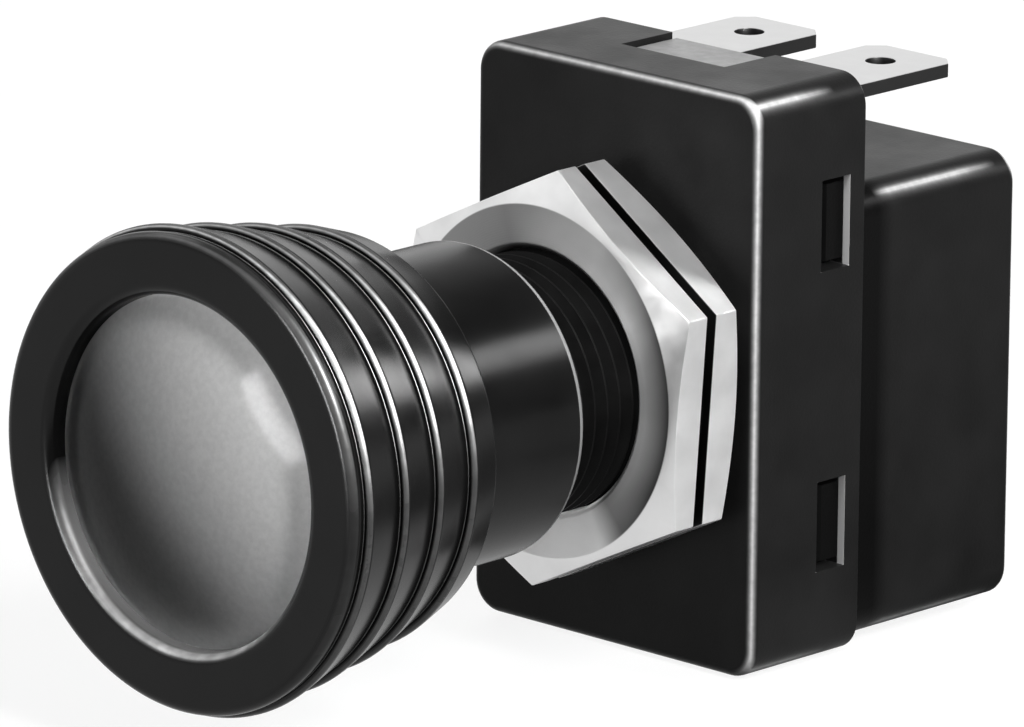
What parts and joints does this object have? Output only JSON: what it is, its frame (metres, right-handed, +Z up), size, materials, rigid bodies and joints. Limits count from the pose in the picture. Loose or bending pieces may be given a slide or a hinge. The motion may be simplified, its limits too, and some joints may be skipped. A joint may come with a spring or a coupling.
{
  "type": "illuminated pull switch",
  "caption": "Panel-mount pull switch: ribbed black knob with a domed lens over a lamp, threaded bushing with hex nuts, latched rectangular housing and rear blade terminals.",
  "frame": {"origin": "On the plunger axis, in the plane of the rear nut's front face, where the back of the panel seats.", "axes": "-Y points out of the panel towards the knob, +Y into the housing along the plunger, +Z up to the blade terminals, +X to the right seen from the knob."},
  "size_m": [0.0272, 0.0578, 0.0333],
  "materials": {
    "housing_black": "satin moulded black",
    "knob_black": "glossy moulded black",
    "lens_grey": "glossy translucent grey",
    "bushing_black": "black finish on brass",
    "nut_nickel": "bright nickel with a turned face",
    "terminal_tin": "tinned brass",
    "spring_steel": "bright spring steel",
    "lamp_glass": "clear glass",
    "lamp_brass": "plain brass",
    "insulator_brown": "moulded insulator",
    "contact_silver": "silver contact",
    "lead_insulation": "grey insulated lead",
    "tube_steel": "drawn steel tube",
    "slider_natural": "natural moulded insulator"
  },
  "bodies": {
    "housing": {"front_cover": "housing_black", "rear_case": "housing_black", "threaded_bushing": "bushing_black", "rear_nut": "nut_nickel", "front_nut": "nut_nickel", "supply_terminal": "terminal_tin", "load_terminal": "terminal_tin", "detent_spring": "spring_steel"},
    "plunger": {"knob": "knob_black", "lens": "lens_grey", "lamp_glass": "lamp_glass", "lamp_cap": "lamp_brass", "lamp_base": "insulator_brown", "lamp_tip": "contact_silver", "lamp_contact": "lamp_brass", "lamp_spring": "spring_steel", "contact_plug": "insulator_brown", "lamp_lead": "lead_insulation", "plunger_tube": "tube_steel", "slider": "slider_natural", "slider_clip": "spring_steel", "contact_bridge": "lamp_brass", "bridge_buttons": "contact_silver", "bridge_springs": "spring_steel", "lead_discs": "lamp_brass"}
  },
  "joints": [
    {"name": "plunger_pull", "type": "slide", "parent": "housing", "child": "plunger", "axis": [0, -1, 0], "range_m": [0, 0.008], "deforming": ["detent_spring"]}
  ]
}
